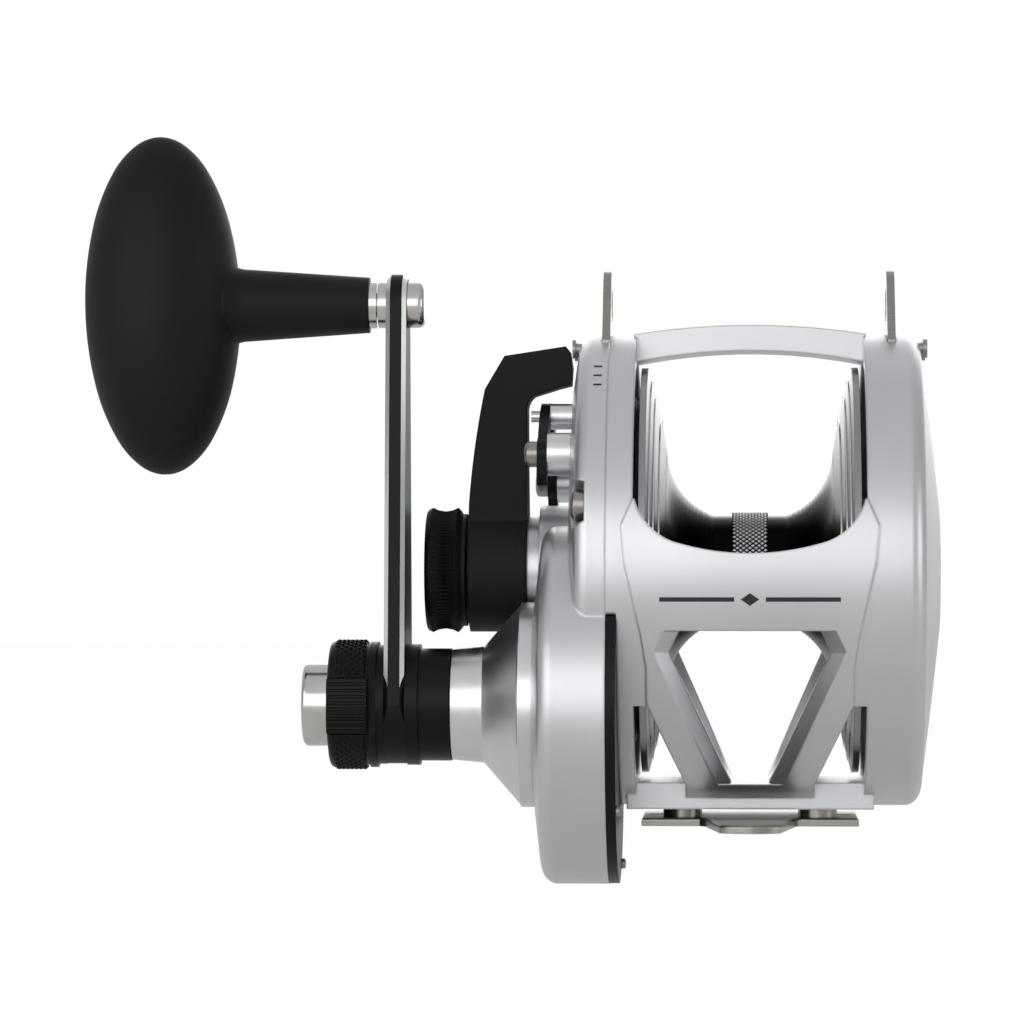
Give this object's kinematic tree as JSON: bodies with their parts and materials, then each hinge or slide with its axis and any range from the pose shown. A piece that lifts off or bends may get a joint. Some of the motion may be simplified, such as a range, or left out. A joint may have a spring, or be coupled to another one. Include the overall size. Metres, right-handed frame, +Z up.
{
  "type": "trolling reel",
  "caption": "Two-speed lever-drag trolling reel: closed silver frame, geared crank with long knob, wide spool, drag lever on a quadrant, harness lugs and clamp foot.",
  "frame": {"origin": "middle of the underside of the reel foot, under the spool axis", "axes": "+X along the spool axis from the crank to the closed tail plate, -Y the side the line leaves from, +Z up from the rod"},
  "size_m": [0.181, 0.1049, 0.1573],
  "materials": {
    "frame_silver": "satin",
    "machined_aluminium": "satin",
    "spool_silver": "polished",
    "black_plate": "satin",
    "steel": "satin",
    "polished_steel": "polished",
    "gear_bronze": "machined",
    "carbon": "matte",
    "lever_black": "matte",
    "arm_black": "satin",
    "rubber": "matte"
  },
  "bodies": {
    "frame": {"frame": "frame_silver", "handle_side_plate": "frame_silver", "gear_housing_cap": "machined_aluminium", "gear_case_back": "black_plate", "handle_outer_bearing": "steel", "handle_inner_bearing": "steel", "pinion_outer_bearing": "steel", "pinion_inner_bearing": "steel", "tail_bearing": "steel", "handle_seal": "rubber", "pawl_pins": "steel", "reel_foot": "polished_steel", "foot_spacers": "steel", "foot_screws": "steel", "harness_lug_handle_side": "steel", "harness_lug_tail_side": "steel", "lug_screws": "steel", "drag_quadrant": "lever_black", "quadrant_posts": "machined_aluminium", "quadrant_screws": "steel", "side_plate_screws": "steel", "back_plate_screws": "steel"},
    "crank": {"handle_shaft": "steel", "high_gear": "gear_bronze", "ratchet_wheel": "steel", "hub_sleeve": "arm_black", "crank_arm": "arm_black", "knurled_collar": "arm_black", "knob_spindle": "steel", "knob_nut": "steel", "shift_spring": "steel"},
    "pinion": {"pinion": "steel", "drag_plate": "steel"},
    "low_gear": {"low_gear": "gear_bronze"},
    "spool_shaft": {"spool_shaft": "steel", "cam_follower": "steel", "spring_washers": "steel"},
    "spool": {"spool": "spool_silver", "spool_bearings": "steel", "drag_washer": "carbon", "click_gear": "steel"},
    "drag_lever": {"drag_lever": "lever_black", "drag_cam": "steel"},
    "preset_knob": {"preset_knob": "rubber"},
    "knob": {"knob": "rubber", "knob_sleeve": "steel"},
    "shift_button": {"shift_button": "polished_steel", "shift_rod": "steel"},
    "shift_release": {"shift_release": "arm_black"},
    "strike_button": {"strike_button": "steel"},
    "clicker": {"clicker_button": "steel", "pawl_pivot": "steel"},
    "click_pawl": {"click_pawl": "steel"},
    "front_pawl": {"front_pawl": "steel"},
    "rear_pawl": {"rear_pawl": "steel"}
  },
  "joints": [
    {"name": "crank_turn", "type": "hinge", "parent": "frame", "child": "crank", "pos_m": [-0.074, -0.0167, 0.0255], "axis": [1, 0, 0], "continuous": true},
    {"name": "pinion_turn", "type": "hinge", "parent": "frame", "child": "pinion", "pos_m": [-0.035, 0, 0.0538], "axis": [1, 0, 0], "continuous": true},
    {"name": "low_gear_turn", "type": "hinge", "parent": "frame", "child": "low_gear", "pos_m": [-0.04, -0.0167, 0.0255], "axis": [1, 0, 0], "continuous": true},
    {"name": "drag_lever_turn", "type": "hinge", "parent": "frame", "child": "drag_lever", "pos_m": [-0.0535, 0, 0.0538], "axis": [1, 0, 0], "range_deg": [-62, 48]},
    {"name": "spool_shaft_slide", "type": "slide", "parent": "frame", "child": "spool_shaft", "axis": [1, 0, 0], "range_m": [-0.00039, 0.0005]},
    {"name": "spool_turn", "type": "hinge", "parent": "spool_shaft", "child": "spool", "pos_m": [0, 0, 0.0538], "axis": [1, 0, 0], "continuous": true},
    {"name": "preset_knob_turn", "type": "hinge", "parent": "spool_shaft", "child": "preset_knob", "pos_m": [-0.0646, 0, 0.0538], "axis": [1, 0, 0], "range_deg": [-180, 180]},
    {"name": "knob_turn", "type": "hinge", "parent": "crank", "child": "knob", "pos_m": [-0.12385, -0.0167, 0.1096], "axis": [1, 0, 0], "continuous": true},
    {"name": "shift_button_press", "type": "slide", "parent": "crank", "child": "shift_button", "axis": [1, 0, 0], "range_m": [0, 0.0035], "stiffness_N_per_m": 300, "springref_m": -0.002},
    {"name": "shift_release_slide", "type": "slide", "parent": "crank", "child": "shift_release", "axis": [1, 0, 0], "range_m": [0, 0.0014], "stiffness_N_per_m": 200, "springref_m": -0.001},
    {"name": "strike_button_press", "type": "slide", "parent": "frame", "child": "strike_button", "axis": [1, 0, 0], "range_m": [0, 0.0012], "stiffness_N_per_m": 200, "springref_m": -0.001},
    {"name": "clicker_slide", "type": "slide", "parent": "frame", "child": "clicker", "axis": [0, -1, 0], "range_m": [0, 0.0037]},
    {"name": "click_pawl_turn", "type": "hinge", "parent": "clicker", "child": "click_pawl", "pos_m": [0.0249, 0.0274, 0.0538], "axis": [1, 0, 0], "range_deg": [-8, 8], "stiffness_Nm_per_rad": 0.002},
    {"name": "front_pawl_turn", "type": "hinge", "parent": "frame", "child": "front_pawl", "pos_m": [-0.0471, -0.02986, 0.0331], "axis": [1, 0, 0], "range_deg": [-10, 0], "stiffness_Nm_per_rad": 0.002, "springref_deg": 5.73},
    {"name": "rear_pawl_turn", "type": "hinge", "parent": "frame", "child": "rear_pawl", "pos_m": [-0.0471, -0.00354, 0.0179], "axis": [1, 0, 0], "range_deg": [-10, 0], "stiffness_Nm_per_rad": 0.002, "springref_deg": 5.73}
  ],
  "couplings": [
    {"joint": "pinion_turn", "follows": "crank_turn", "ratio": -4.6154},
    {"joint": "low_gear_turn", "follows": "crank_turn", "ratio": 1.8639},
    {"joint": "spool_turn", "follows": "crank_turn", "ratio": -4.6154},
    {"joint": "spool_shaft_slide", "follows": "drag_lever_turn", "m_per_rad": -0.00045837}
  ]
}
